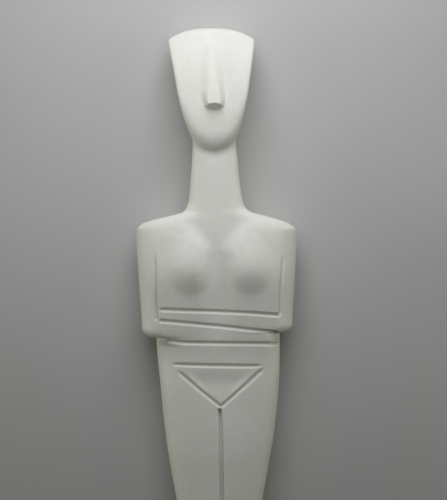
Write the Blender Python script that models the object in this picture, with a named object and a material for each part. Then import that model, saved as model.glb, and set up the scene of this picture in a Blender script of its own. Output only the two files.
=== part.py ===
"""A folded-arm figurine of the Cycladic kind: a modern copy, cast in one piece in fine white plaster.

It lies on its back. Units are metres, +X is the figure's left side, +Y runs towards the head and +Z is its
front. The surface that it lies on is z = 0, and the origin is under the middle of its length.

The body is one loft of rounded rings from the top of the head to the soles. A place along the body is a
share of the length, measured from the top of the head. The shares follow the carving of the real thing,
where the left and the right side aren't alike.
"""

import math

import bmesh
import bpy
from mathutils import Vector
from mathutils.bvhtree import BVHTree

# Length, and widths seen from the front
FIGURE_LENGTH = 0.300
HEAD_WIDTH = 0.0389
JAW_WIDTH = 0.0194
NECK_WIDTH = 0.0220
SHOULDER_WIDTH = 0.0721
ELBOW_SPAN = 0.0678
WAIST_WIDTH = 0.0552
HIP_WIDTH = 0.0530
THIGH_WIDTH = 0.0440
KNEE_WIDTH = 0.0320
CALF_WIDTH = 0.0318
ANKLE_WIDTH = 0.0216
FOOT_WIDTH = 0.0236

# Heights of the front above the surface that the figure lies on
CREST_HEIGHT = 0.0080
FOREHEAD_HEIGHT = 0.0124
CHIN_HEIGHT = 0.0250
NECK_HEIGHT = 0.0224
CHEST_HEIGHT = 0.0246
WAIST_HEIGHT = 0.0226
HIP_HEIGHT = 0.0230
THIGH_HEIGHT = 0.0238
KNEE_HEIGHT = 0.0238
CALF_HEIGHT = 0.0212
ANKLE_HEIGHT = 0.0148
TOE_HEIGHT = 0.0195

# Heights of the back above that surface. REST_DIP is ground away, which leaves flat spots to lie on
REST_DIP = 0.0005
NAPE_LIFT = 0.0060
LOIN_LIFT = 0.0022
KNEE_LIFT = 0.0052
CALF_LIFT = 0.0012
ANKLE_LIFT = 0.0024
HEEL_LIFT = 0.0008
SOLE_ROUNDING = 0.0015

# Carving
CORNER_ROUNDING = 0.0012
NOSE_HEIGHT = 0.0040
NOSE_WIDTH = 0.0076
NOSE_TOP_HEIGHT = 0.0007
NOSE_TOP_WIDTH = 0.0036
BREAST_HEIGHT = 0.0021
BREAST_RADIUS = 0.0108
CHEST_RISE = 0.0034
CHEST_VALLEY_EDGE = 0.0095
ELBOW_HOLLOW_DEPTH = 0.0028
HAND_FALL = 0.0018
PUBIC_DISH = 0.0008
GROOVE_WIDTH = 0.0024
GROOVE_DEPTH = 0.0010
ARM_LINE_WIDTH = 0.0018
ARM_LINE_DEPTH = 0.0008
CLEFT_WIDTH = 0.0024
CLEFT_DEPTH = 0.0014
CALF_CLEFT_WIDTH = 0.0048
CALF_CLEFT_DEPTH = 0.0034
SPINE_WIDTH = 0.0030
SPINE_DEPTH = 0.0009
# The share of a line over which it fades at each end, and how far the tool then stands off
LINE_TAPER = 0.12
LIFT_OUT = 0.0002

# The block below the resting surface reaches this many times past the figure's width and length
BLOCK_REACH = 1.5
WELD_DISTANCE = 0.00001
SHARP_ANGLE = 35

# How finely the surface is divided. A stretch is (first place, last place, rings)
HALF_STEPS = 22
STEPS_BETWEEN_STATIONS = 4
TUBE_RESOLUTION = 2
RING_STRETCHES = (
    (0.0004, 0.0090, 4),
    (0.0180, 0.1500, 9),
    (0.1600, 0.1840, 6),
    (0.1862, 0.2050, 3),
    (0.2250, 0.2650, 3),
    (0.2706, 0.3020, 8),
    (0.3100, 0.4400, 9),
    (0.4446, 0.4660, 9),
    (0.4740, 0.6200, 9),
    (0.6450, 0.9050, 11),
    (0.9150, 0.9440, 4),
    (0.9455, 0.9500, 4),
)

# Places
CREST_END = 0.0090
CHIN = 0.1862
SOLE = 0.9500
FOOT_LEAN_START = 0.895
BREAST_PLACE = 0.3580
BREAST_SPREAD = 0.188
BREAST_MIDDLE = 0.0055
BREAST_LENGTHENING = 1.5
BREAST_DEEPENING = 1.3
BREAST_ROUNDNESS = 1.7
ARM_START = 0.74
# The hollow under the right elbow, from a share of the half width outwards
ELBOW_HOLLOW_SIDE = 0.56
ELBOW_HOLLOW_PLACE = 0.4712
ELBOW_HOLLOW_SLANT = 0.0150
ELBOW_HOLLOW_RIM = 0.0110
ELBOW_HOLLOW_RETURN = 0.0800
# Where the lower forearm falls away at its left end
HAND_SIDE = 0.84
HAND_START = 0.4600
HAND_END = 0.4730
HAND_RETURN = 0.0450
# The dish in the triangle: where it lies, and over which shares of it the fall and the rises go
PUBIC_TOP = 0.5055
PUBIC_BOTTOM = 0.5665
PUBIC_REACH = 0.0680
PUBIC_FALL = 0.50
PUBIC_RISE = 0.30
PUBIC_SIDES = 0.60

# The outline down to the elbows: place, whole width, and how far its middle lies to the figure's left
OUTLINE = (
    (0.0130, 0.990 * HEAD_WIDTH, -0.0080),
    (0.0170, 1.000 * HEAD_WIDTH, -0.0078),
    (0.0336, 0.972 * HEAD_WIDTH, -0.0072),
    (0.0786, 0.864 * HEAD_WIDTH, -0.0058),
    (0.1086, 0.789 * HEAD_WIDTH, -0.0054),
    (0.1386, 0.672 * HEAD_WIDTH, -0.0046),
    (0.1536, 0.595 * HEAD_WIDTH, -0.0041),
    (0.1716, 1.000 * JAW_WIDTH, -0.0035),
    (0.1986, 0.930 * NECK_WIDTH, -0.0026),
    (0.2286, 1.000 * NECK_WIDTH, -0.0022),
    (0.2586, 1.098 * NECK_WIDTH, -0.0012),
    (0.2706, 1.215 * NECK_WIDTH, -0.0008),
    (0.2766, 0.425 * SHOULDER_WIDTH, 0.0010),
    (0.2826, 0.598 * SHOULDER_WIDTH, 0.0025),
    (0.2886, 0.789 * SHOULDER_WIDTH, -0.0003),
    (0.2946, 0.918 * SHOULDER_WIDTH, -0.0008),
    (0.3036, 0.993 * SHOULDER_WIDTH, 0.0001),
    (0.3126, 1.000 * SHOULDER_WIDTH, 0.0),
    (0.3786, 0.973 * SHOULDER_WIDTH, 0.0005),
    (0.4386, 1.000 * ELBOW_SPAN, 0.0007),
    (0.4800, 0.988 * ELBOW_SPAN, 0.0010),
)
# The same below the elbows
LOWER_OUTLINE = (
    (0.4400, 1.004 * WAIST_WIDTH, 0.0020),
    (0.4760, 1.000 * WAIST_WIDTH, 0.0027),
    (0.5406, 1.000 * HIP_WIDTH, 0.0047),
    (0.6126, 0.913 * HIP_WIDTH, 0.0049),
    (0.6486, 1.020 * THIGH_WIDTH, 0.0044),
    (0.7086, 0.872 * THIGH_WIDTH, 0.0045),
    (0.7760, 1.000 * KNEE_WIDTH, 0.0044),
    (0.8400, 1.000 * CALF_WIDTH, 0.0042),
    (0.9050, 1.000 * ANKLE_WIDTH, 0.0040),
    (0.9300, 0.970 * FOOT_WIDTH, 0.0040),
    (SOLE, 1.000 * FOOT_WIDTH, 0.0040),
)
# Where the round underside of each elbow starts and ends: the figure's right side, then its left
ELBOWS = {-1: (0.4506, 0.4646), 1: (0.4446, 0.4575)}

# Height of the front along the middle line
FRONT = (
    (0.000, 1.00 * FOREHEAD_HEIGHT),
    (0.017, 1.20 * FOREHEAD_HEIGHT),
    (0.035, 1.44 * FOREHEAD_HEIGHT),
    (0.050, 0.788 * CHIN_HEIGHT),
    (0.079, 0.886 * CHIN_HEIGHT),
    (0.109, 0.952 * CHIN_HEIGHT),
    (0.139, 0.992 * CHIN_HEIGHT),
    (0.158, 1.00 * CHIN_HEIGHT),
    (0.166, 0.99 * CHIN_HEIGHT),
    (0.175, 0.955 * CHIN_HEIGHT),
    (0.181, 0.90 * CHIN_HEIGHT),
    (CHIN, 0.815 * CHIN_HEIGHT),
    (0.190, 0.905 * NECK_HEIGHT),
    (0.205, 0.938 * NECK_HEIGHT),
    (0.230, 0.965 * NECK_HEIGHT),
    (0.262, 1.00 * NECK_HEIGHT),
    (0.290, 1.04 * NECK_HEIGHT),
    (0.345, 1.00 * CHEST_HEIGHT),
    (0.375, 1.01 * CHEST_HEIGHT),
    (0.420, 0.97 * CHEST_HEIGHT),
    (0.470, 0.945 * CHEST_HEIGHT),
    (0.505, 1.00 * WAIST_HEIGHT),
    (0.560, 1.00 * HIP_HEIGHT),
    (0.650, 1.00 * THIGH_HEIGHT),
    (0.776, 1.00 * KNEE_HEIGHT),
    (0.850, 1.00 * CALF_HEIGHT),
    (0.905, 1.00 * ANKLE_HEIGHT),
    (0.925, 1.06 * ANKLE_HEIGHT),
    (SOLE, 1.00 * TOE_HEIGHT),
)
# Height of the back along the middle line
BACK = (
    (0.000, 0.55 * CREST_HEIGHT),
    (0.020, 0.10 * CREST_HEIGHT),
    (0.040, -REST_DIP),
    (0.060, -REST_DIP),
    (0.090, 0.15 * NAPE_LIFT),
    (0.135, 0.72 * NAPE_LIFT),
    (0.190, 1.00 * NAPE_LIFT),
    (0.240, 0.85 * NAPE_LIFT),
    (0.290, 0.25 * NAPE_LIFT),
    (0.325, -REST_DIP),
    (0.375, -REST_DIP),
    (0.430, 0.30 * LOIN_LIFT),
    (0.485, 1.00 * LOIN_LIFT),
    (0.525, 0.40 * LOIN_LIFT),
    (0.560, -REST_DIP),
    (0.605, -REST_DIP),
    (0.660, 0.35 * KNEE_LIFT),
    (0.776, 1.00 * KNEE_LIFT),
    (0.850, 1.00 * CALF_LIFT),
    (0.905, 1.00 * ANKLE_LIFT),
    (SOLE, 1.00 * HEEL_LIFT),
)
# How far a ring's ends lie below its middle, as a share of the length: the arch of the head and the chin
BOW = (
    (0.000, 0.0152),
    (0.033, 0.0095),
    (0.083, 0.0027),
    (0.117, -0.0017),
    (0.150, -0.0083),
    (CHIN, -0.0143),
    (0.194, -0.0140),
    (0.213, -0.0083),
    (0.240, -0.0017),
    (0.262, 0.0),
    (0.280, 0.0),
)
# Squareness of a ring's front and back, and the height of its widest line between them
FRONT_SQUARENESS = (
    (0.00, 18.0),
    (0.08, 16.0),
    (0.11, 11.0),
    (0.13, 7.0),
    (0.15, 5.0),
    (0.17, 3.9),
    (0.20, 3.4),
    (0.25, 3.2),
    (0.31, 2.8),
    (0.37, 3.2),
    (0.445, 3.6),
    (0.466, 3.9),
    (0.52, 3.7),
    (0.65, 3.1),
    (1.00, 2.5),
)
BACK_SQUARENESS = (
    (0.00, 2.6),
    (0.13, 2.3),
    (0.20, 2.1),
    (0.27, 2.2),
    (0.32, 3.2),
    (0.45, 3.0),
    (0.60, 2.7),
    (1.00, 2.4),
)
WIDEST_LINE = (
    (0.00, 0.60),
    (0.13, 0.62),
    (0.19, 0.50),
    (0.45, 0.46),
    (1.00, 0.46),
)
# How much of CHEST_RISE the chest has, on both sides of the valley that runs down from the neck as a V
CHEST_SWELL = (
    (0.255, 0.0),
    (0.268, 0.0),
    (0.285, 0.15),
    (0.300, 0.50),
    (0.315, 0.77),
    (0.333, 0.88),
    (0.350, 0.97),
    (0.358, 1.0),
    (0.400, 0.72),
    (0.440, 0.40),
    (0.490, 0.0),
    (0.510, 0.0),
)
NECK_V = (
    (0.270, 0.50),
    (0.289, 0.40),
    (0.311, 0.19),
    (0.337, 0.0),
    (0.360, 0.0),
)
# The power by which a ring's bow grows towards its ends
BOW_POWER = (
    (0.000, 2.7),
    (0.060, 2.4),
    (0.150, 2.0),
    (0.300, 2.0),
)

# The nose and the carved lines. Each point is (how far to the side, place), where the side is a share of the
# half width there: -1 at the figure's right edge, 0 in the middle and 1 at its left edge
NOSE_LINE = (
    (-0.003, 0.0240),
    (-0.003, 0.0500),
    (0.013, 0.0850),
    (0.043, 0.1160),
)
FOREARM_LINES = (
    ((-0.75, 0.4222), (-0.49, 0.4234), (-0.01, 0.4250), (0.44, 0.4275), (0.86, 0.4310)),
    ((-0.77, 0.4386), (-0.49, 0.4415), (-0.01, 0.4464), (0.46, 0.4520), (0.94, 0.4574)),
    ((-0.99, 0.4655), (-0.80, 0.4690), (-0.50, 0.4714), (-0.04, 0.4722), (0.52, 0.4728), (0.97, 0.4735)),
)
BELLY_LINES = (
    ((-0.76, 0.5040), (-0.64, 0.5043), (-0.05, 0.5056), (0.51, 0.5063), (0.70, 0.5058)),
    ((-0.69, 0.5129), (-0.36, 0.5395), (0.02, 0.5665)),
    ((0.74, 0.5091), (0.40, 0.5370), (0.02, 0.5665)),
)
ARM_LINES = (
    ((-0.77, 0.3336), (-0.78, 0.3636), (-0.79, 0.3936), (-0.80, 0.4380)),
    ((0.83, 0.3396), (0.83, 0.3636), (0.82, 0.3936), (0.83, 0.4290)),
)
LEG_CLEFT = (
    (0.00, 0.5680),
    (0.02, 0.6036),
    (0.04, 0.6636),
    (0.06, 0.7600),
    (0.04, 0.8500),
    (0.01, 0.9400),
    (0.00, 1.0050),
)
SPINE_LINE = (
    (0.00, 0.3850),
    (0.00, 0.5450),
)
BACK_ARM_LINES = (
    ((-0.75, 0.3500), (-0.78, 0.4000), (-0.79, 0.4500)),
    ((0.79, 0.3500), (0.80, 0.4000), (0.81, 0.4450)),
)
BACK_CLEFT = (
    (0.00, 0.6150),
    (0.03, 0.6800),
    (0.05, 0.7800),
    (0.04, 0.8500),
    (0.01, 0.9520),
)

# Casting plaster: colour, roughness and metallic value
PLASTER_COLOUR = (0.80, 0.79, 0.76, 1.0)
PLASTER_ROUGHNESS = 0.62
PLASTER_METALLIC = 0.0


def clear_scene():
    for obj in list(bpy.data.objects):
        bpy.data.objects.remove(obj, do_unlink=True)


def new_collection(name, helpers=False):
    collection = bpy.data.collections.new(name)
    collection.hide_render = helpers
    bpy.context.scene.collection.children.link(collection)
    return collection


def clamp(value):
    return min(max(value, 0.0), 1.0)


def ease(value):
    """Goes from 0 to 1 with a soft start and end."""
    value = clamp(value)
    return value * value * (3 - 2 * value)


def curve_value(stations, place, column=1):
    """The value at a place, on a smooth curve through the stations that doesn't overshoot them."""
    if place <= stations[0][0]:
        return stations[0][column]
    if place >= stations[-1][0]:
        return stations[-1][column]
    index = max(i for i, station in enumerate(stations) if station[0] <= place)
    start, end = stations[index], stations[index + 1]
    gap = end[0] - start[0]
    slope = (end[column] - start[column]) / gap
    share = (place - start[0]) / gap
    start_slope = meeting_slope(stations, index, column, slope)
    end_slope = meeting_slope(stations, index + 1, column, slope)
    rise = share * share * (3 - 2 * share)
    lead = share * (1 - share) ** 2
    trail = share * share * (1 - share)
    change = (end[column] - start[column]) * rise
    return start[column] + change + gap * (lead * start_slope - trail * end_slope)


def meeting_slope(stations, index, column, at_an_end):
    """The slope at a station, between the slopes on its two sides, and level where they turn round."""
    if index in (0, len(stations) - 1):
        return at_an_end
    before, here, after = stations[index - 1 : index + 2]
    first = (here[column] - before[column]) / (here[0] - before[0])
    second = (after[column] - here[column]) / (after[0] - here[0])
    if first * second <= 0:
        return 0.0
    return 2 * first * second / (first + second)


def edge(place, side):
    """How far to the side the outline lies. side is 1 for the figure's left and -1 for its right."""
    upper = side * curve_value(OUTLINE, place) / 2 + FIGURE_LENGTH * curve_value(OUTLINE, place, 2)
    lower = side * curve_value(LOWER_OUTLINE, place) / 2
    lower += FIGURE_LENGTH * curve_value(LOWER_OUTLINE, place, 2)
    start, end = ELBOWS[side]
    turn = clamp((place - start) / (end - start))
    return lower + (upper - lower) * math.sqrt(1 - turn * turn)


def across_body(place, share):
    """The position sideways at a share of the half width, from -1 at the figure's right to 1 at its left."""
    left = edge(place, 1)
    right = edge(place, -1)
    return (left + right) / 2 + share * (left - right) / 2


def chest_rise(across, place):
    """The chest swells between the arms, on both sides of a valley."""
    left = edge(place, 1)
    right = edge(place, -1)
    share = abs(2 * across - left - right) / (left - right)
    middle = FIGURE_LENGTH * curve_value(OUTLINE, place, 2)
    half_v = NECK_WIDTH * curve_value(NECK_V, place)
    beside = ease((abs(across - middle) - half_v) / CHEST_VALLEY_EDGE)
    between_arms = 1 - ease((share - ARM_START) / (1 - ARM_START))
    return CHEST_RISE * curve_value(CHEST_SWELL, place) * beside * between_arms


def breast_rise(across, place):
    """Two low domes, drawn out towards the shoulders."""
    rise = 0.0
    for side in (-1, 1):
        middle = BREAST_MIDDLE * FIGURE_LENGTH + side * BREAST_SPREAD * SHOULDER_WIDTH
        sideways = (across - middle) / BREAST_RADIUS
        along = (place - BREAST_PLACE) * FIGURE_LENGTH / BREAST_RADIUS
        along /= BREAST_LENGTHENING if along < 0 else BREAST_DEEPENING
        rise += BREAST_HEIGHT * max(0.0, 1 - sideways**2 - along**2) ** BREAST_ROUNDNESS
    return rise


def elbow_hollow(across, place):
    """The waist lies deeper under the right elbow, and the lower forearm falls away at its left end."""
    left = edge(place, 1)
    right = edge(place, -1)
    share = (2 * across - left - right) / (left - right)
    beyond = max(-share - ELBOW_HOLLOW_SIDE, 0.0)
    start = ELBOW_HOLLOW_PLACE - ELBOW_HOLLOW_SLANT * beyond
    under_elbow = ease(beyond / (1 - ELBOW_HOLLOW_SIDE)) * ease((place - start) / ELBOW_HOLLOW_RIM)
    under_elbow *= 1 - ease((place - start - ELBOW_HOLLOW_RIM) / ELBOW_HOLLOW_RETURN)
    at_hand = ease((share - HAND_SIDE) / (1 - HAND_SIDE))
    at_hand *= ease((place - HAND_START) / (HAND_END - HAND_START))
    at_hand *= 1 - ease((place - HAND_END) / HAND_RETURN)
    return ELBOW_HOLLOW_DEPTH * under_elbow + HAND_FALL * at_hand


def pubic_fall(across, place):
    """A dish in the triangle, which falls soon below the belly line and rises slowly to its point."""
    down = clamp((place - PUBIC_TOP) / (PUBIC_BOTTOM - PUBIC_TOP))
    if down in (0.0, 1.0):
        return 0.0
    middle = FIGURE_LENGTH * curve_value(LOWER_OUTLINE, place, 2)
    sideways = abs(across - middle) / (PUBIC_REACH * FIGURE_LENGTH * (1 - down))
    dip = ease(down / PUBIC_FALL) * (1 - ease((down - PUBIC_RISE) / (1 - PUBIC_RISE)))
    return PUBIC_DISH * dip * (1 - ease((sideways - PUBIC_SIDES) / (1 - PUBIC_SIDES)))


def front_relief(across, place):
    raised = chest_rise(across, place) + breast_rise(across, place)
    return raised - elbow_hollow(across, place) - pubic_fall(across, place)


def crest_closing(place):
    """1 down the body, and less towards the top of the head, where the front and back meet."""
    share = clamp(place / CREST_END)
    return math.sqrt(1 - (1 - share) ** 2)


def sole_inset(place):
    """How far a ring is drawn in at the rounded edge of the soles."""
    start = SOLE - SOLE_ROUNDING / FIGURE_LENGTH
    turn = clamp((place - start) / (SOLE - start))
    return SOLE_ROUNDING * (1 - math.sqrt(1 - turn * turn))


def foot_lean(place):
    """How much a ring leans, so that the soles slant and the toes reach the full length."""
    full = (1 - SOLE) * FIGURE_LENGTH / (TOE_HEIGHT - SOLE_ROUNDING - HEEL_LIFT)
    return full * ease((place - FOOT_LEAN_START) / (SOLE - FOOT_LEAN_START))


def ring(place):
    """One ring's points: over the front from the figure's left to its right, then behind."""
    closing = crest_closing(place)
    inset = sole_inset(place)
    corner = CORNER_ROUNDING * (1 - closing)
    bow = curve_value(BOW, place)
    bow_power = curve_value(BOW_POWER, place)
    left = edge(place + bow, 1) - inset - corner
    right = edge(place + bow, -1) + inset + corner
    front = CREST_HEIGHT + (curve_value(FRONT, place) - inset - CREST_HEIGHT) * closing
    back = CREST_HEIGHT + (curve_value(BACK, place) + inset - CREST_HEIGHT) * closing
    widest = back + (front - back) * curve_value(WIDEST_LINE, place)
    points = []
    for step in range(2 * HALF_STEPS):
        angle = math.pi * step / HALF_STEPS
        sideways = math.cos(angle)
        on_front = step <= HALF_STEPS
        squareness = curve_value(FRONT_SQUARENESS if on_front else BACK_SQUARENESS, place)
        swell = max(0.0, 1 - abs(sideways) ** squareness) ** (1 / squareness)
        across = (left + right) / 2 + sideways * (left - right) / 2
        if on_front:
            height = widest + swell * (front - widest + front_relief(across, place))
        else:
            height = widest - swell * (widest - back)
        along = FIGURE_LENGTH * (0.5 - place - bow * abs(sideways) ** bow_power)
        points.append(Vector((across, along - foot_lean(place) * (height - HEEL_LIFT), height)))
    return points


def ring_places():
    places = []
    for start, end, count in RING_STRETCHES:
        for step in range(count):
            places.append(start + (end - start) * step / (count - 1))
    return places


def body_faces(rings):
    """Quads between neighbouring rings, and strips from front to back that close both ends."""
    around = 2 * HALF_STEPS
    faces = []
    for row in range(rings - 1):
        for step in range(around):
            beside = (step + 1) % around
            here, below = row * around, (row + 1) * around
            faces.append((here + step, below + step, below + beside, here + beside))
    last = (rings - 1) * around
    for step in range(HALF_STEPS):
        corners = (step, step + 1, around - step - 1, (around - step) % around)
        strip = tuple(dict.fromkeys(corners))
        faces.append(strip)
        faces.append(tuple(last + corner for corner in reversed(strip)))
    return faces


def weld_and_face_outwards(mesh):
    work = bmesh.new()
    work.from_mesh(mesh)
    bmesh.ops.remove_doubles(work, verts=work.verts, dist=WELD_DISTANCE)
    bmesh.ops.recalc_face_normals(work, faces=work.faces)
    work.to_mesh(mesh)
    work.free()


def body_mesh():
    points = []
    places = ring_places()
    for place in places:
        points.extend(ring(place))
    mesh = bpy.data.meshes.new("figurine_body")
    mesh.from_pydata(points, [], body_faces(len(places)))
    weld_and_face_outwards(mesh)
    return mesh


def surface_height(tree, across, along, behind):
    """The height of the body's front or back over a point, or None beside the body."""
    inwards = Vector((0, 0, 1 if behind else -1))
    hit = tree.ray_cast(Vector((across, along, 0)) - FIGURE_LENGTH * inwards, inwards)[0]
    return None if hit is None else hit.z


def tube(name, helpers, points, radii):
    """A round bar through the points, as a closed mesh."""
    curve = bpy.data.curves.new(name, "CURVE")
    curve.dimensions = "3D"
    curve.bevel_depth = 1.0
    curve.bevel_resolution = TUBE_RESOLUTION
    curve.use_fill_caps = True
    spline = curve.splines.new("POLY")
    spline.points.add(len(points) - 1)
    for target, point, radius in zip(spline.points, points, radii):
        target.co = (*point, 1.0)
        target.radius = radius
    guide = bpy.data.objects.new(name + "_guide", curve)
    helpers.objects.link(guide)
    graph = bpy.context.evaluated_depsgraph_get()
    mesh = bpy.data.meshes.new_from_object(guide.evaluated_get(graph))
    weld_and_face_outwards(mesh)
    bar = bpy.data.objects.new(name, mesh)
    bar.matrix_world = guide.matrix_world.copy()
    bpy.data.objects.remove(guide, do_unlink=True)
    bar.hide_render = True
    bar.display_type = "WIRE"
    helpers.objects.link(bar)
    return bar


def line_points(tree, line, behind=False):
    """Points spread along a line, on the surface. Past the soles they keep the last height."""
    stations = [(index, *station) for index, station in enumerate(line)]
    points = []
    for step in range(STEPS_BETWEEN_STATIONS * (len(line) - 1) + 1):
        index = step / STEPS_BETWEEN_STATIONS
        place = curve_value(stations, index, 2)
        across = across_body(place, curve_value(stations, index, 1))
        along = FIGURE_LENGTH * (0.5 - place)
        height = surface_height(tree, across, along, behind)
        if height is None:
            height = points[-1].z
        points.append(Vector((across, along, height)))
    return points


def groove_radius(width, depth):
    """The radius of a round tool that cuts this wide and this deep."""
    return (width * width / 4 + depth * depth) / (2 * depth)


def groove_cutter(name, helpers, tree, line, size, end_size=None, behind=False):
    """A round tool that follows a line and lifts out at its ends. size is (width, depth).

    With an end_size the line grows towards its far end, which stays open.
    """
    outwards = Vector((0, 0, -1 if behind else 1))
    points = line_points(tree, line, behind)
    centres = []
    radii = []
    for step, point in enumerate(points):
        share = step / (len(points) - 1)
        growth = ease(share) if end_size else 0.0
        width = size[0] + growth * ((end_size or size)[0] - size[0])
        depth = size[1] + growth * ((end_size or size)[1] - size[1])
        radius = groove_radius(width, depth)
        held = ease(share / LINE_TAPER)
        if end_size is None:
            held *= ease((1 - share) / LINE_TAPER)
        sunk = depth * held - LIFT_OUT * (1 - held)
        centres.append(point + outwards * (radius - sunk))
        radii.append(radius)
    return tube(name, helpers, centres, radii)


def nose(helpers, tree):
    """A long wedge down the middle of the face, square across its lower end."""
    points = line_points(tree, NOSE_LINE)
    centres = []
    radii = []
    for step, point in enumerate(points):
        share = step / (len(points) - 1)
        radius = (NOSE_TOP_WIDTH + share * (NOSE_WIDTH - NOSE_TOP_WIDTH)) / 2
        rise = NOSE_TOP_HEIGHT + share * (NOSE_HEIGHT - NOSE_TOP_HEIGHT)
        centres.append(point + Vector((0, 0, rise - radius)))
        radii.append(radius)
    return tube("nose", helpers, centres, radii)


def ground_plane_cutter(helpers):
    """A block whose top is the surface that the figure lies on."""
    thickness = SHOULDER_WIDTH
    bpy.ops.mesh.primitive_cube_add(size=1, location=(0, 0, -thickness / 2))
    block = bpy.context.object
    block.name = "resting_surface"
    block.scale = (BLOCK_REACH * SHOULDER_WIDTH, BLOCK_REACH * FIGURE_LENGTH, thickness)
    for collection in list(block.users_collection):
        collection.objects.unlink(block)
    block.hide_render = True
    block.display_type = "WIRE"
    helpers.objects.link(block)
    return block


def cutters(helpers, tree):
    groove = (GROOVE_WIDTH, GROOVE_DEPTH)
    arm_line = (ARM_LINE_WIDTH, ARM_LINE_DEPTH)
    cleft = (CLEFT_WIDTH, CLEFT_DEPTH)
    calf_cleft = (CALF_CLEFT_WIDTH, CALF_CLEFT_DEPTH)
    made = []
    for index, line in enumerate(FOREARM_LINES):
        made.append(groove_cutter(f"forearm_line_{index}", helpers, tree, line, groove))
    for index, line in enumerate(BELLY_LINES):
        made.append(groove_cutter(f"belly_line_{index}", helpers, tree, line, groove))
    for index, line in enumerate(ARM_LINES):
        made.append(groove_cutter(f"arm_line_{index}", helpers, tree, line, arm_line))
    for index, line in enumerate(BACK_ARM_LINES):
        made.append(groove_cutter(f"back_arm_line_{index}", helpers, tree, line, arm_line, behind=True))
    made.append(groove_cutter("leg_cleft", helpers, tree, LEG_CLEFT, cleft, calf_cleft))
    made.append(groove_cutter("back_cleft", helpers, tree, BACK_CLEFT, cleft, calf_cleft, behind=True))
    made.append(groove_cutter("spine", helpers, tree, SPINE_LINE, (SPINE_WIDTH, SPINE_DEPTH), behind=True))
    made.append(ground_plane_cutter(helpers))
    return made


def add_boolean(figurine, other, operation):
    modifier = figurine.modifiers.new(other.name, "BOOLEAN")
    modifier.object = other
    modifier.operation = operation
    modifier.solver = "EXACT"


def plaster():
    material = bpy.data.materials.new("plaster")
    material.use_nodes = True
    shader = material.node_tree.nodes["Principled BSDF"]
    shader.inputs["Base Color"].default_value = PLASTER_COLOUR
    shader.inputs["Roughness"].default_value = PLASTER_ROUGHNESS
    shader.inputs["Metallic"].default_value = PLASTER_METALLIC
    return material


def main():
    clear_scene()
    parts = new_collection("cycladic_figurine")
    helpers = new_collection("cutters", helpers=True)
    mesh = body_mesh()
    mesh.shade_smooth()
    mesh.set_sharp_from_angle(angle=math.radians(SHARP_ANGLE))
    mesh.materials.append(plaster())
    figurine = bpy.data.objects.new("figurine", mesh)
    parts.objects.link(figurine)
    work = bmesh.new()
    work.from_mesh(mesh)
    tree = BVHTree.FromBMesh(work)
    work.free()
    add_boolean(figurine, nose(helpers, tree), "UNION")
    for cutter in cutters(helpers, tree):
        add_boolean(figurine, cutter, "DIFFERENCE")


main()
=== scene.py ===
"""The looks of the folded-arm figurine: a fine mesh of the same form, plaster, a floor, lights and a camera.

Metres. +X is the figure's left side, +Y runs towards the head and +Z is its front. A place is a share of the
figure's length, measured from the top of the head. The body is a stack of rings, with the lines cut into it.
"""
import math

import bmesh
import bpy
import numpy as np
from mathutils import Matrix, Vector


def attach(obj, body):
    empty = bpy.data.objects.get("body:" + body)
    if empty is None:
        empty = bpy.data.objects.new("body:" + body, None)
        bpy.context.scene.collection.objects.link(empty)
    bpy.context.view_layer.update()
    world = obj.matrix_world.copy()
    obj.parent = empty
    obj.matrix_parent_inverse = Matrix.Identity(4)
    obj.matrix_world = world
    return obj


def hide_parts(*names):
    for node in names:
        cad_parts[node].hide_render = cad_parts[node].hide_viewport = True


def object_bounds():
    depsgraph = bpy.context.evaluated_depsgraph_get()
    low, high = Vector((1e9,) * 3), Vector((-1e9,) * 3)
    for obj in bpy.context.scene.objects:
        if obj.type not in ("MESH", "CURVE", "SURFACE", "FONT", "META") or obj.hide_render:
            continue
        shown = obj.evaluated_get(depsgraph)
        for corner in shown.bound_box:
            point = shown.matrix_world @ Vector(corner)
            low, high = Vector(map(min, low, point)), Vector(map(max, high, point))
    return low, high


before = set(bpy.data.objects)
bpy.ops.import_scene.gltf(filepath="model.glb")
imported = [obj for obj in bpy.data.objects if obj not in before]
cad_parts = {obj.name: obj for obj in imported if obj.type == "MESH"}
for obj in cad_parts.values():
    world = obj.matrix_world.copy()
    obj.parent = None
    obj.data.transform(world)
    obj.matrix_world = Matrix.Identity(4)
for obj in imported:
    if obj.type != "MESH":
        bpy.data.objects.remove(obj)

CAD_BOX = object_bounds()
MM = 0.001

# Length, and widths seen from the front
FIGURE_LENGTH = 0.300
HEAD_WIDTH = 0.0389
JAW_WIDTH = 0.0194
NECK_WIDTH = 0.0220
SHOULDER_WIDTH = 0.0721
ELBOW_SPAN = 0.0678
WAIST_WIDTH = 0.0552
HIP_WIDTH = 0.0530
THIGH_WIDTH = 0.0440
KNEE_WIDTH = 0.0320
CALF_WIDTH = 0.0318
ANKLE_WIDTH = 0.0216
FOOT_WIDTH = 0.0236

# Heights of the front above the surface that the figure lies on
CREST_HEIGHT = 0.0080
FOREHEAD_HEIGHT = 0.0124
CHIN_HEIGHT = 0.0250
NECK_HEIGHT = 0.0224
CHEST_HEIGHT = 0.0246
WAIST_HEIGHT = 0.0226
HIP_HEIGHT = 0.0230
THIGH_HEIGHT = 0.0238
KNEE_HEIGHT = 0.0238
CALF_HEIGHT = 0.0212
ANKLE_HEIGHT = 0.0148
TOE_HEIGHT = 0.0195

# Heights of the back above that surface
REST_DIP = 0.0005
NAPE_LIFT = 0.0060
LOIN_LIFT = 0.0022
KNEE_LIFT = 0.0052
CALF_LIFT = 0.0012
ANKLE_LIFT = 0.0024
HEEL_LIFT = 0.0008
SOLE_ROUNDING = 0.0015

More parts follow.
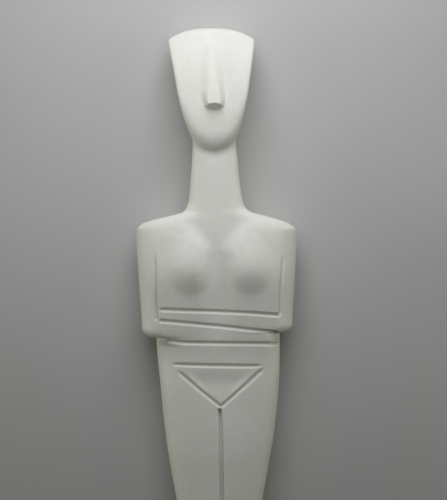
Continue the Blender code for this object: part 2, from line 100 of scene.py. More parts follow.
# Carving
CORNER_ROUNDING = 0.0012
NOSE_HEIGHT = 0.0040
NOSE_HALF_LENS = 0.0037
NOSE_TOP_HEIGHT = 0.0007
NOSE_TIP_ARCH = 0.0013
NOSE_BASE_ARCH = 0.0018
BREAST_HEIGHT = 0.0021
BREAST_RADIUS = 0.0108
CHEST_RISE = 0.0034
CHEST_VALLEY_EDGE = 0.0095
PUBIC_DISH = 0.0008
GROOVE_WIDTH = 0.0024
GROOVE_DEPTH = 0.0010
ARM_LINE_WIDTH = 0.0018
ARM_LINE_DEPTH = 0.0018
CLEFT_WIDTH = 0.0025
CLEFT_DEPTH = 0.0025
ELBOW_HOLLOW_DEPTH = 0.0028
HAND_FALL = 0.0018
CALF_CLEFT_WIDTH = 0.0048
CALF_CLEFT_DEPTH = 0.0034
SPINE_WIDTH = 0.0034
SPINE_DEPTH = 0.0009

# The share of a line over which it fades at its start or end
LINE_TAPER = 0.12
NO_TAPER = 0.000001
UPPER_FOREARM_TAPER = 0.04
LOWER_FOREARM_TAPER = 0.22
DIAGONAL_TAPER = 0.15
ARM_LINE_TAPER = 0.35
CLEFT_TAPER = 0.03
# A sharp line's sides are nearly straight: 1 would be a plain V
SHARP_LINE_POWER = 1.2
STEPS_BETWEEN_STATIONS = 24

# Places
CREST_END = 0.0090
CHIN = 0.1862
SOLE = 0.9500
FOOT_LEAN_START = 0.895
BREAST_PLACE = 0.3580
BREAST_SPREAD = 0.188
BREAST_MIDDLE = 0.0055
BREAST_LENGTHENING = 1.5
BREAST_ROUNDNESS = 1.7
BREAST_DEEPENING = 1.3
ARM_START = 0.74
NOSE_TIP = 0.1200
NOSE_FADE_START = 0.010
NOSE_FADE = 0.020
NOSE_LINE_STEPS = 60
# The hollow under the right elbow, from a share of the half width outwards
ELBOW_HOLLOW_SIDE = 0.56
ELBOW_HOLLOW_PLACE = 0.4712
ELBOW_HOLLOW_SLANT = 0.0150
ELBOW_HOLLOW_RIM = 0.0110
ELBOW_HOLLOW_RETURN = 0.0800
# Where the lower forearm falls away at its left end
HAND_SIDE = 0.84
HAND_START = 0.4600
HAND_END = 0.4730
HAND_RETURN = 0.0450
# The dish in the triangle: where it lies, and over which shares of it the fall and the rises go
PUBIC_TOP = 0.5055
PUBIC_BOTTOM = 0.5665
PUBIC_REACH = 0.0680
PUBIC_FALL = 0.50
PUBIC_RISE = 0.30
PUBIC_SIDES = 0.60

# The outline down to the elbows: place, whole width, and how far its middle lies to the figure's left.
# LOWER_OUTLINE is the same below them
OUTLINE = (
    (0.0130, 0.990 * HEAD_WIDTH, -0.0080),
    (0.0170, 1.000 * HEAD_WIDTH, -0.0078),
    (0.0336, 0.972 * HEAD_WIDTH, -0.0072),
    (0.0786, 0.864 * HEAD_WIDTH, -0.0058),
    (0.1086, 0.789 * HEAD_WIDTH, -0.0054),
    (0.1386, 0.672 * HEAD_WIDTH, -0.0046),
    (0.1536, 0.595 * HEAD_WIDTH, -0.0041),
    (0.1716, 1.000 * JAW_WIDTH, -0.0035),
    (0.1986, 0.930 * NECK_WIDTH, -0.0026),
    (0.2286, 1.000 * NECK_WIDTH, -0.0022),
    (0.2586, 1.098 * NECK_WIDTH, -0.0012),
    (0.2706, 1.215 * NECK_WIDTH, -0.0008),
    (0.2766, 0.425 * SHOULDER_WIDTH, 0.0010),
    (0.2826, 0.598 * SHOULDER_WIDTH, 0.0025),
    (0.2886, 0.789 * SHOULDER_WIDTH, -0.0003),
    (0.2946, 0.918 * SHOULDER_WIDTH, -0.0008),
    (0.3036, 0.993 * SHOULDER_WIDTH, 0.0001),
    (0.3126, 1.000 * SHOULDER_WIDTH, 0.0),
    (0.3786, 0.973 * SHOULDER_WIDTH, 0.0005),
    (0.4386, 1.000 * ELBOW_SPAN, 0.0007),
    (0.4800, 0.988 * ELBOW_SPAN, 0.0010),
)
LOWER_OUTLINE = (
    (0.4400, 1.004 * WAIST_WIDTH, 0.0020),
    (0.4760, 1.000 * WAIST_WIDTH, 0.0027),
    (0.5406, 1.000 * HIP_WIDTH, 0.0047),
    (0.6126, 0.913 * HIP_WIDTH, 0.0049),
    (0.6486, 1.020 * THIGH_WIDTH, 0.0044),
    (0.7086, 0.872 * THIGH_WIDTH, 0.0045),
    (0.7760, 1.000 * KNEE_WIDTH, 0.0044),
    (0.8400, 1.000 * CALF_WIDTH, 0.0042),
    (0.9050, 1.000 * ANKLE_WIDTH, 0.0040),
    (0.9300, 0.970 * FOOT_WIDTH, 0.0040),
    (SOLE, 1.000 * FOOT_WIDTH, 0.0040),
)
# Where the round underside of each elbow starts and ends: the figure's right side, then its left
ELBOWS = {-1: (0.4506, 0.4646), 1: (0.4446, 0.4575)}

# Height of the front, and of the back, along the middle line
FRONT = (
    (0.000, 1.00 * FOREHEAD_HEIGHT),
    (0.017, 1.20 * FOREHEAD_HEIGHT),
    (0.035, 1.44 * FOREHEAD_HEIGHT),
    (0.050, 0.788 * CHIN_HEIGHT),
    (0.079, 0.886 * CHIN_HEIGHT),
    (0.109, 0.952 * CHIN_HEIGHT),
    (0.139, 0.992 * CHIN_HEIGHT),
    (0.158, 1.00 * CHIN_HEIGHT),
    (0.166, 0.99 * CHIN_HEIGHT),
    (0.175, 0.955 * CHIN_HEIGHT),
    (0.181, 0.90 * CHIN_HEIGHT),
    (CHIN, 0.815 * CHIN_HEIGHT),
    (0.190, 0.905 * NECK_HEIGHT),
    (0.205, 0.938 * NECK_HEIGHT),
    (0.230, 0.965 * NECK_HEIGHT),
    (0.262, 1.00 * NECK_HEIGHT),
    (0.290, 1.04 * NECK_HEIGHT),
    (0.345, 1.00 * CHEST_HEIGHT),
    (0.375, 1.01 * CHEST_HEIGHT),
    (0.420, 0.97 * CHEST_HEIGHT),
    (0.470, 0.945 * CHEST_HEIGHT),
    (0.505, 1.00 * WAIST_HEIGHT),
    (0.560, 1.00 * HIP_HEIGHT),
    (0.650, 1.00 * THIGH_HEIGHT),
    (0.776, 1.00 * KNEE_HEIGHT),
    (0.850, 1.00 * CALF_HEIGHT),
    (0.905, 1.00 * ANKLE_HEIGHT),
    (0.925, 1.06 * ANKLE_HEIGHT),
    (SOLE, 1.00 * TOE_HEIGHT),
)
BACK = (
    (0.000, 0.55 * CREST_HEIGHT),
    (0.020, 0.10 * CREST_HEIGHT),
    (0.040, -REST_DIP),
    (0.060, -REST_DIP),
    (0.090, 0.15 * NAPE_LIFT),
    (0.135, 0.72 * NAPE_LIFT),
    (0.190, 1.00 * NAPE_LIFT),
    (0.240, 0.85 * NAPE_LIFT),
    (0.290, 0.25 * NAPE_LIFT),
    (0.325, -REST_DIP),
    (0.375, -REST_DIP),
    (0.430, 0.30 * LOIN_LIFT),
    (0.485, 1.00 * LOIN_LIFT),
    (0.525, 0.40 * LOIN_LIFT),
    (0.560, -REST_DIP),
    (0.605, -REST_DIP),
    (0.660, 0.35 * KNEE_LIFT),
    (0.776, 1.00 * KNEE_LIFT),
    (0.850, 1.00 * CALF_LIFT),
    (0.905, 1.00 * ANKLE_LIFT),
    (SOLE, 1.00 * HEEL_LIFT),
)
# How far a ring's ends lie below its middle, as a share of the length: the arch of the head and the chin
BOW = (
    (0.000, 0.0152),
    (0.033, 0.0095),
    (0.083, 0.0027),
    (0.117, -0.0017),
    (0.150, -0.0083),
    (CHIN, -0.0143),
    (0.194, -0.0140),
    (0.213, -0.0083),
    (0.240, -0.0017),
    (0.262, 0.0),
    (0.280, 0.0),
)
# Squareness of a ring's front and back, and the height of its widest line between them
FRONT_SQUARENESS = (
    (0.00, 18.0),
    (0.08, 16.0),
    (0.11, 11.0),
    (0.13, 7.0),
    (0.15, 5.0),
    (0.17, 3.9),
    (0.20, 3.4),
    (0.25, 3.2),
    (0.31, 2.8),
    (0.37, 3.2),
    (0.445, 3.6),
    (0.466, 3.9),
    (0.52, 3.7),
    (0.65, 3.1),
    (1.00, 2.5),
)
BACK_SQUARENESS = (
    (0.00, 2.6),
    (0.13, 2.3),
    (0.20, 2.1),
    (0.27, 2.2),
    (0.32, 3.2),
    (0.45, 3.0),
    (0.60, 2.7),
    (1.00, 2.4),
)
WIDEST_LINE = (
    (0.00, 0.60),
    (0.13, 0.62),
    (0.19, 0.50),
    (0.45, 0.46),
    (1.00, 0.46),
)
# How much of CHEST_RISE the chest has, on both sides of the valley that runs down from the neck as a V
CHEST_SWELL = (
    (0.255, 0.0),
    (0.268, 0.0),
    (0.285, 0.15),
    (0.300, 0.50),
    (0.315, 0.77),
    (0.333, 0.88),
    (0.350, 0.97),
    (0.358, 1.0),
    (0.400, 0.72),
    (0.440, 0.40),
    (0.490, 0.0),
    (0.510, 0.0),
)
NECK_V = (
    (0.270, 0.50),
    (0.289, 0.40),
    (0.311, 0.19),
    (0.337, 0.0),
    (0.360, 0.0),
)
# The power by which a ring's bow grows towards its ends
BOW_POWER = (
    (0.000, 2.7),
    (0.060, 2.4),
    (0.150, 2.0),
    (0.300, 2.0),
)
# Half of the nose's flat top, and how wide its slopes are towards the figure's right and its left
NOSE_TOP = (
    (0.020, 0.0003),
    (0.050, 0.0008),
    (0.075, 0.0013),
    (0.097, 0.0019),
    (0.113, 0.0024),
    (0.120, 0.0021),
)
NOSE_SLOPES = (
    (0.020, 0.0028, 0.0034),
    (0.060, 0.0044, 0.0042),
    (0.095, 0.0044, 0.0036),
    (0.112, 0.0030, 0.0028),
    (0.120, 0.0024, 0.0024),
)

# The nose and the carved lines. Each point is (how far to the side, place), where the side is a share of the
# half width there: -1 at the figure's right edge, 0 in the middle and 1 at its left edge
NOSE_LINE = (
    (-0.003, 0.0240),
    (-0.003, 0.0500),
    (0.013, 0.0850),
    (0.043, 0.1160),
)
FOREARM_LINES = (
    ((-0.75, 0.4222), (-0.49, 0.4234), (-0.01, 0.4250), (0.44, 0.4275), (0.86, 0.4310)),
    ((-0.77, 0.4386), (-0.49, 0.4415), (-0.01, 0.4464), (0.46, 0.4520), (0.94, 0.4574)),
    ((-0.86, 0.4682), (-0.78, 0.4693), (-0.50, 0.4714), (-0.04, 0.4722), (0.52, 0.4728), (0.97, 0.4735)),
)
BELLY_LINES = (
    ((-0.76, 0.5040), (-0.64, 0.5043), (-0.05, 0.5056), (0.51, 0.5063), (0.70, 0.5058)),
    ((-0.69, 0.5129), (-0.36, 0.5395), (0.02, 0.5665)),
    ((0.74, 0.5091), (0.40, 0.5370), (0.02, 0.5665)),
)
ARM_LINES = (
    ((-0.77, 0.3336), (-0.78, 0.3636), (-0.79, 0.3936), (-0.80, 0.4380)),
    ((0.83, 0.3396), (0.83, 0.3636), (0.82, 0.3936), (0.83, 0.4290)),
)
LEG_CLEFT = (
    (0.00, 0.5680),
    (0.02, 0.6036),
    (0.04, 0.6636),
    (0.06, 0.7600),
    (0.04, 0.8500),
    (0.01, 0.9400),
    (0.00, 1.0050),
)
SPINE_LINE = (
    (0.00, 0.3850),
    (0.00, 0.5450),
)
BACK_ARM_LINES = (
    ((-0.75, 0.3500), (-0.78, 0.4000), (-0.79, 0.4500)),
    ((0.79, 0.3500), (0.80, 0.4000), (0.81, 0.4450)),
)
BACK_CLEFT = (
    (0.00, 0.6150),
    (0.03, 0.6800),
    (0.05, 0.7800),
    (0.04, 0.8500),
    (0.01, 0.9520),
)
# Casting flaws on the chest: how far to the side, place, radius and height (below 0 for a pit)
FLAWS = (
    (-0.255, 0.3783, 0.42 * MM, 0.17 * MM),
    (-0.285, 0.3857, 0.26 * MM, 0.09 * MM),
    (-0.220, 0.3866, 0.26 * MM, 0.09 * MM),
    (-0.085, 0.3606, 0.36 * MM, -0.13 * MM),
    (-0.100, 0.3711, 0.24 * MM, -0.08 * MM),
    (0.035, 0.3891, 0.24 * MM, -0.08 * MM),
)
# The mesh is divided further out to this many radii of a flaw, on faces that look up at least this much
FLAW_PATCH = 4.0
FLAW_CUTS = 3
FRONT_FACING = 0.3

# The gap between rings at a place, and how many points lie across a ring's front and back
RING_GAPS = (
    (0.000, 0.22 * MM),
    (0.009, 0.40 * MM),
    (0.020, 0.60 * MM),
    (0.095, 0.60 * MM),
    (0.104, 0.20 * MM),
    (0.124, 0.20 * MM),
    (0.132, 0.45 * MM),
    (0.155, 0.40 * MM),
    (0.180, 0.28 * MM),
    (0.192, 0.40 * MM),
    (0.205, 0.80 * MM),
    (0.260, 0.80 * MM),
    (0.270, 0.35 * MM),
    (0.300, 0.35 * MM),
    (0.315, 0.70 * MM),
    (0.410, 0.70 * MM),
    (0.417, 0.26 * MM),
    (0.456, 0.24 * MM),
    (0.4575, 0.12 * MM),
    (0.459, 0.24 * MM),
    (0.4635, 0.24 * MM),
    (0.4646, 0.12 * MM),
    (0.466, 0.26 * MM),
    (0.478, 0.26 * MM),
    (0.488, 0.50 * MM),
    (0.499, 0.30 * MM),
    (0.512, 0.30 * MM),
    (0.572, 0.38 * MM),
    (0.585, 0.85 * MM),
    (0.720, 0.90 * MM),
    (0.900, 0.90 * MM),
    (0.940, 0.60 * MM),
    (0.944, 0.14 * MM),
    (SOLE, 0.10 * MM),
)
FIRST_RING = 0.0003
FINE_PLACES = 20000
FRONT_POINTS = 130
BACK_POINTS = 42
FINE_ANGLES = 720
WELD_DISTANCE = 0.000001
# Where a ring's front has its points closer together: how much closer, round which share of the half width,
# and how far that reaches
NOSE_CROWDING = 1.3
NOSE_CROWDING_REACH = 0.42
LINE_CROWDING = 3.0
ARM_LINE_SHARE = 0.805
ARM_LINE_CROWDING_REACH = 0.045
CLEFT_SHARE = 0.03
CLEFT_CROWDING_REACH = 0.07
# Where this changes over from the nose to the arm lines, and from them to the leg cleft: start and length
TO_ARM_LINES = (0.19, 0.09)
TO_CLEFT = (0.46, 0.06)

# Plaster: its colours
CLOUD_DARKER = (0.80, 0.805, 0.765)
CLOUD_LIGHTER = (0.84, 0.845, 0.815)
GRAIN_COLOUR = (0.76, 0.76, 0.715)
DARK_SPECK = (0.50, 0.47, 0.41)
PALE_SPECK = (0.90, 0.89, 0.86)
# Patches per metre of each noise, and the part of its range that is used
CLOUD_SCALE = 38.0
CLOUD_RANGE = (0.35, 0.65)
GRAIN_SCALE = 420.0
GRAIN_RANGE = (0.40, 0.62)
GRAIN_STRENGTH = 0.35
WEAR_SCALE = 90.0
WEAR_RANGE = (0.3, 0.7)
ROUGHNESS_RANGE = (0.50, 0.66)
FINE_BUMP_SCALE = 1500.0
COARSE_BUMP_SCALE = 260.0
BUMP_STRENGTH = 0.25
BUMP_HEIGHT = 0.12 * MM
# Specks: cells per metre, a speck's radius as a share of a cell, the share of the cells that has one, and
# how much of its colour a speck takes
DARK_SPECKS = (260.0, 0.10, 0.10, 0.35)
PALE_SPECKS = (330.0, 0.12, 0.12, 0.5)
PLASTER_SPECULAR = 0.35
GLOW_WEIGHT = 0.12
GLOW_DEPTH = 1.2 * MM
GLOW_COLOUR = (1.0, 0.85, 0.6)

# Floor: its half width, how far it lies below the surface that the figure lies on, and its colours
FLOOR_REACH = 3.0
FLOOR_GAP = 0.05 * MM
FLOOR_CLOUD_SCALE = 9.0
FLOOR_CLOUD_RANGE = (0.3, 0.7)
FLOOR_DARKER = (0.55, 0.56, 0.565)
FLOOR_LIGHTER = (0.58, 0.59, 0.595)
FLOOR_ROUGHNESS = 0.9

# Lights: place, size, power in watts and colour
KEY_COLOUR = (1.0, 1.0, 1.0)
SIDE_COLOUR = (1.0, 1.0, 0.80)
LIGHTS = {
    "low_key": ((0.0, 0.36, 0.17), 0.24, 0.58, KEY_COLOUR),
    "high_key": ((0.0, 0.17, 0.20), 0.24, 0.19, KEY_COLOUR),
    "right_side": ((-0.85, 0.0, 0.12), 0.40, 1.95, SIDE_COLOUR),
    "left_side": ((0.85, 0.0, 0.12), 0.40, 0.38, SIDE_COLOUR),
    "left_fill": ((0.60, 0.10, 0.22), 0.40, 0.50, SIDE_COLOUR),
}
LIGHT_AIM = (0.0, 0.05, 0.01)
WORLD_COLOUR = (0.93, 0.96, 0.95, 1.0)
WORLD_STRENGTH = 0.02

# Camera: where it looks down, its height, and the width that it sees at SEEN_HEIGHT, inside the figure
CAMERA_PLACE = (0.00313, 0.0499)
CAMERA_HEIGHT = 1.2
SEEN_WIDTH = 0.225
SEEN_HEIGHT = 0.012
SENSOR_WIDTH = 36.0
CLIP_RANGE = (0.01, 50.0)


def ease(value):
    """Goes from 0 to 1 with a soft start and end."""
    value = np.clip(value, 0.0, 1.0)
    return value * value * (3 - 2 * value)


def curve(stations, at, column=1):
    """Values on a smooth curve through the stations that doesn't overshoot them."""
    table = np.array(stations, float)
    places, values = table[:, 0], table[:, column]
    gaps = np.diff(places)
    slopes = np.diff(values) / gaps
    meeting = np.empty(len(places))
    meeting[0], meeting[-1] = slopes[0], slopes[-1]
    before, after = slopes[:-1], slopes[1:]
    same_way = before * after > 0
    total = np.where(same_way, before + after, 1.0)
    meeting[1:-1] = np.where(same_way, 2 * before * after / total, 0.0)
    index = np.clip(np.searchsorted(places, at, side="right") - 1, 0, len(gaps) - 1)
    gap = gaps[index]
    share = np.clip((at - places[index]) / gap, 0.0, 1.0)
    rise = share * share * (3 - 2 * share)
    lead = share * (1 - share) ** 2
    trail = share * share * (1 - share)
    change = (values[index + 1] - values[index]) * rise
    return values[index] + change + gap * (lead * meeting[index] - trail * meeting[index + 1])


def edge(place, side):
    """How far to the side the outline lies. side is 1 for the figure's left and -1 for its right."""
    upper = side * curve(OUTLINE, place) / 2 + FIGURE_LENGTH * curve(OUTLINE, place, 2)
    lower = side * curve(LOWER_OUTLINE, place) / 2 + FIGURE_LENGTH * curve(LOWER_OUTLINE, place, 2)
    start, end = ELBOWS[side]
    turn = np.clip((place - start) / (end - start), 0.0, 1.0)
    return lower + (upper - lower) * np.sqrt(1 - turn * turn)


def across_body(place, share):
    """The position sideways at a share of the half width."""
    left, right = edge(place, 1), edge(place, -1)
    return (left + right) / 2 + share * (left - right) / 2


def middle_line(place):
    """The middle between the two edges, changed over smoothly past the elbows, where the edges step in."""
    upper, lower = curve(OUTLINE, place, 2), curve(LOWER_OUTLINE, place, 2)
    start, end = ELBOWS[1][0], ELBOWS[-1][1]
    return FIGURE_LENGTH * (upper + (lower - upper) * ease((place - start) / (end - start)))


def side_share(across, place):
    """How far a point lies from the middle line, as a share of the way to the edge on its own side."""
    middle = middle_line(place)
    return (across - middle) / np.where(across > middle, edge(place, 1) - middle, middle - edge(place, -1))


def chest_rise(across, place):
    """The chest swells between the arms, on both sides of a valley."""
    left, right = edge(place, 1), edge(place, -1)
    middle = FIGURE_LENGTH * curve(OUTLINE, place, 2)
    share = np.abs(2 * across - left - right) / (left - right)
    beside = ease((np.abs(across - middle) - NECK_WIDTH * curve(NECK_V, place)) / CHEST_VALLEY_EDGE)
    between_arms = 1 - ease((share - ARM_START) / (1 - ARM_START))
    return CHEST_RISE * curve(CHEST_SWELL, place) * beside * between_arms


def breast_rise(across, place):
    """Two low domes, drawn out towards the shoulders."""
    rise = np.zeros_like(across)
    for side in (-1, 1):
        middle = BREAST_MIDDLE * FIGURE_LENGTH + side * BREAST_SPREAD * SHOULDER_WIDTH
        sideways = (across - middle) / BREAST_RADIUS
        along = (place - BREAST_PLACE) * FIGURE_LENGTH / BREAST_RADIUS
        along = along / np.where(along < 0, BREAST_LENGTHENING, BREAST_DEEPENING)
        rise += BREAST_HEIGHT * np.maximum(0.0, 1 - sideways**2 - along**2) ** BREAST_ROUNDNESS
    return rise


def elbow_hollow(across, place):
    """The waist lies deeper under the right elbow, and the lower forearm falls away at its left end."""
    share = side_share(across, place)
    beyond = np.maximum(-share - ELBOW_HOLLOW_SIDE, 0.0)
    start = ELBOW_HOLLOW_PLACE - ELBOW_HOLLOW_SLANT * beyond
    under_elbow = ease(beyond / (1 - ELBOW_HOLLOW_SIDE)) * ease((place - start) / ELBOW_HOLLOW_RIM)
    under_elbow = under_elbow * (1 - ease((place - start - ELBOW_HOLLOW_RIM) / ELBOW_HOLLOW_RETURN))
    at_hand = ease((share - HAND_SIDE) / (1 - HAND_SIDE))
    at_hand = at_hand * ease((place - HAND_START) / (HAND_END - HAND_START))
    at_hand = at_hand * (1 - ease((place - HAND_END) / HAND_RETURN))
    return ELBOW_HOLLOW_DEPTH * under_elbow + HAND_FALL * at_hand


def pubic_fall(across, place):
    """A dish in the triangle, which falls soon below the belly line and rises slowly to its point."""
    middle = FIGURE_LENGTH * curve(LOWER_OUTLINE, place, 2)
    down = np.clip((place - PUBIC_TOP) / (PUBIC_BOTTOM - PUBIC_TOP), 0.0, 1.0)
    reach = PUBIC_REACH * FIGURE_LENGTH * np.maximum(1 - down, 0.01)
    dip = ease(down / PUBIC_FALL) * (1 - ease((down - PUBIC_RISE) / (1 - PUBIC_RISE)))
    return PUBIC_DISH * dip * (1 - ease((np.abs(across - middle) / reach - PUBIC_SIDES) / (1 - PUBIC_SIDES)))


def nose_rise(across, place):
    """A long soft ridge that ends in a steep underside, arched above and below like a lens."""
    steps = np.linspace(0, len(NOSE_LINE) - 1, NOSE_LINE_STEPS)
    stations = [(index, *station) for index, station in enumerate(NOSE_LINE)]
    line_place = curve(stations, steps, 2)
    line_across = across_body(line_place, curve(stations, steps, 1))
    off = across - np.interp(place, line_place, line_across)
    grown = np.clip((place - line_place[0]) / (line_place[-1] - line_place[0]), 0.0, 1.0)
    height = NOSE_TOP_HEIGHT + grown * (NOSE_HEIGHT - NOSE_TOP_HEIGHT)
    height = height * ease((place - line_place[0] + NOSE_FADE_START) / NOSE_FADE)
    slope = np.where(off < 0, curve(NOSE_SLOPES, place, 1), curve(NOSE_SLOPES, place, 2))
    ridge = 1 - ease((np.abs(off) - curve(NOSE_TOP, place)) / slope)
    arch = np.maximum(0.0, 1 - (off / NOSE_HALF_LENS) ** 2)
    tip = NOSE_TIP - NOSE_TIP_ARCH / FIGURE_LENGTH * arch
    base = NOSE_TIP + NOSE_BASE_ARCH / FIGURE_LENGTH * arch
    falling = np.clip((place - tip) / np.maximum(base - tip, 1e-6), 0.0, 1.0)
    return height * ridge * (1 - falling)


def crest_closing(place):
    """1 down the body, and less towards the top of the head, where the front and back meet."""
    share = np.clip(place / CREST_END, 0.0, 1.0)
    return np.sqrt(1 - (1 - share) ** 2)


def sole_inset(place):
    """How far a ring is drawn in at the rounded edge of the soles."""
    start = SOLE - SOLE_ROUNDING / FIGURE_LENGTH
    turn = np.clip((place - start) / (SOLE - start), 0.0, 1.0)
    return SOLE_ROUNDING * (1 - np.sqrt(1 - turn * turn))


def foot_lean(place):
    """How much a ring leans, so that the soles slant and the toes reach the full length."""
    full = (1 - SOLE) * FIGURE_LENGTH / (TOE_HEIGHT - SOLE_ROUNDING - HEEL_LIFT)
    return full * ease((place - FOOT_LEAN_START) / (SOLE - FOOT_LEAN_START))


def ring_places():
    """Places from the top of the head to the soles, closer together where RING_GAPS asks for it."""
    grid = np.linspace(FIRST_RING, SOLE, FINE_PLACES)
    stations, station_gaps = np.array(RING_GAPS).T
    gaps = np.interp(grid, stations, station_gaps)
    count = np.concatenate(([0.0], np.cumsum(FIGURE_LENGTH * np.diff(grid) * 2 / (gaps[1:] + gaps[:-1]))))
    return np.interp(np.linspace(0, count[-1], int(round(count[-1])) + 1), count, grid)


def crowding(share, place):
    """How much closer a ring's front points lie: at the nose, then the arm lines, then the leg cleft."""
    nose = NOSE_CROWDING * np.exp(-((share / NOSE_CROWDING_REACH) ** 4))
    arm_lines = LINE_CROWDING * np.exp(-(((np.abs(share) - ARM_LINE_SHARE) / ARM_LINE_CROWDING_REACH) ** 2))
    cleft = LINE_CROWDING * np.exp(-(((share - CLEFT_SHARE) / CLEFT_CROWDING_REACH) ** 2))
    value = nose + (arm_lines - nose) * ease((place - TO_ARM_LINES[0]) / TO_ARM_LINES[1])
    return 1 + value + (cleft - value) * ease((place - TO_CLEFT[0]) / TO_CLEFT[1])


def oval(share, squareness):
    """The height of a squared oval, 1 in its middle and 0 at its ends, at a share of its half width."""
    return np.maximum(0.0, 1 - np.abs(share) ** squareness) ** (1 / squareness)


def ring_angles(place, squareness, half_width, half_depth, points, front):
    """Angles that spread points evenly along a ring's front or back, crowded where the carving needs it."""
    angles = np.linspace(0, math.pi, FINE_ANGLES + 1)
    share = np.cos(angles)
    steps = np.hypot(np.diff(share) * half_width, np.diff(oval(share, squareness)) * half_depth)
    if front:
        steps = steps * crowding((share[1:] + share[:-1]) / 2, place)
    total = np.concatenate(([0.0], np.cumsum(steps)))
    return np.interp(np.linspace(0, total[-1], points + 1), total, angles)


def relief(across, place):
    """What the front has above or below the plain ring, apart from the nose."""
    raised = breast_rise(across, place) + chest_rise(across, place)
    return raised - elbow_hollow(across, place) - pubic_fall(across, place)


def half_ring(place, on_front):
    """The front or back of a ring. A point has across, along before the feet lean, height and along."""
    closing = crest_closing(place)
    inset = sole_inset(place)
    corner = CORNER_ROUNDING * (1 - closing)
    bow = curve(BOW, place)
    left = edge(place + bow, 1) - inset - corner
    right = edge(place + bow, -1) + inset + corner
    front = CREST_HEIGHT + (curve(FRONT, place) - inset - CREST_HEIGHT) * closing
    back = CREST_HEIGHT + (curve(BACK, place) + inset - CREST_HEIGHT) * closing
    widest = back + (front - back) * curve(WIDEST_LINE, place)
    squareness = curve(FRONT_SQUARENESS if on_front else BACK_SQUARENESS, place)
    depth = front - widest if on_front else widest - back
    count = FRONT_POINTS if on_front else BACK_POINTS
    angles = ring_angles(place, squareness, (left - right) / 2, depth, count, on_front)[:-1]
    share = np.cos(angles) if on_front else -np.cos(angles)
    swell = oval(share, squareness)
    middle = middle_line(place + bow)
    across = middle + share * np.where(share > 0, left - middle, middle - right)
    if on_front:
        height = widest + swell * (depth + relief(across, place)) + nose_rise(across, place)
    else:
        height = widest - swell * depth
    flat = FIGURE_LENGTH * (0.5 - place - bow * np.abs(share) ** curve(BOW_POWER, place))
    along = flat - foot_lean(place) * (height - HEEL_LIFT)
    return np.stack([across, flat, height, along], axis=1)


def rings():
    """The smooth body before carving, as an array of rings by points."""
    rows = [np.concatenate((half_ring(place, True), half_ring(place, False))) for place in ring_places()]
    return np.array(rows)


def grid_normals(points):
    """Outward normals of a closed grid of rings by points."""
    down = np.gradient(points, axis=0)
    around = np.roll(points, -1, axis=1) - np.roll(points, 1, axis=1)
    normals = np.cross(around, down)
    normals /= np.maximum(np.linalg.norm(normals, axis=2, keepdims=True), 1e-12)
    middle = points.mean(axis=1, keepdims=True)
    outward = np.sign(((points - middle) * normals).sum(axis=(1, 2)))
    return normals * np.median(outward)


def line_path(line):
    """Points along a carved line, seen from the front."""
    stations = [(index, *station) for index, station in enumerate(line)]
    steps = np.linspace(0, len(line) - 1, STEPS_BETWEEN_STATIONS * (len(line) - 1) + 1)
    place = curve(stations, steps, 2)
    return np.stack([across_body(place, curve(stations, steps, 1)), FIGURE_LENGTH * (0.5 - place)], axis=1)


def distance_to_path(points, path):
    """The distance of each point to a path, and how far along it the nearest spot lies, from 0 to 1."""
    best = np.full(len(points), 1e9)
    along = np.zeros(len(points))
    for index in range(len(path) - 1):
        start, step = path[index], path[index + 1] - path[index]
        share = np.clip(((points - start) @ step) / (step @ step), 0.0, 1.0)
        distance = np.linalg.norm(points - start - share[:, None] * step, axis=1)
        nearer = distance < best
        best[nearer] = distance[nearer]
        along[nearer] = (index + share[nearer]) / (len(path) - 1)
    return best, along


def groove_depths(flat, line, size, end_size=None, lens=False, tapers=(LINE_TAPER, LINE_TAPER), sharp=False):
    """How deep a carved line cuts at each point. With an end_size it grows towards its far end.

    size is (width, depth), and tapers has the shares of the line over which it fades at its start and its
    end. A lens is widest in its middle, and a sharp line is cut as a V.
    """
    path = line_path(line)
    width = max(size[0], (end_size or size)[0])
    low, high = path.min(axis=0) - width, path.max(axis=0) + width
    near = np.all((flat > low) & (flat < high), axis=1)
    depths = np.zeros(len(flat))
    distance, along = distance_to_path(flat[near], path)
    growth = ease(along) if end_size else 0.0
    wide = size[0] + growth * ((end_size or size)[0] - size[0])
    deep = size[1] + growth * ((end_size or size)[1] - size[1])
    held = ease(along / tapers[0]) * ease((1 - along) / tapers[1])
    if lens:
        held = np.sqrt(np.maximum(0.0, 4 * along * (1 - along)))
        wide = wide * (0.5 + 0.5 * held)
    off = np.clip(distance / (wide * 0.5), 0.0, 1.0)
    profile = (1 - off) ** SHARP_LINE_POWER if sharp else 0.5 + 0.5 * np.cos(math.pi * off)
    depths[near] = deep * held * profile
    return depths


def front_depths(flat):
    """How deep the front is cut at each point, by the deepest of its lines."""
    groove = (GROOVE_WIDTH, GROOVE_DEPTH)
    arm_line = (ARM_LINE_WIDTH, ARM_LINE_DEPTH)
    cleft = (CLEFT_WIDTH, CLEFT_DEPTH)
    calf_cleft = (CALF_CLEFT_WIDTH, CALF_CLEFT_DEPTH)
    short = (UPPER_FOREARM_TAPER, UPPER_FOREARM_TAPER)
    from_elbow = (LOWER_FOREARM_TAPER, NO_TAPER)
    diagonal = (DIAGONAL_TAPER, NO_TAPER)
    down_arm = (ARM_LINE_TAPER, NO_TAPER)
    down_legs = (CLEFT_TAPER, NO_TAPER)
    depths = [groove_depths(flat, line, groove, tapers=short) for line in FOREARM_LINES[:2]]
    depths += [groove_depths(flat, FOREARM_LINES[2], groove, tapers=from_elbow)]
    depths += [groove_depths(flat, BELLY_LINES[0], groove, lens=True)]
    depths += [groove_depths(flat, line, groove, tapers=diagonal) for line in BELLY_LINES[1:]]
    depths += [groove_depths(flat, line, arm_line, tapers=down_arm, sharp=True) for line in ARM_LINES]
    depths += [groove_depths(flat, LEG_CLEFT, cleft, calf_cleft, tapers=down_legs, sharp=True)]
    return np.max(depths, axis=0)


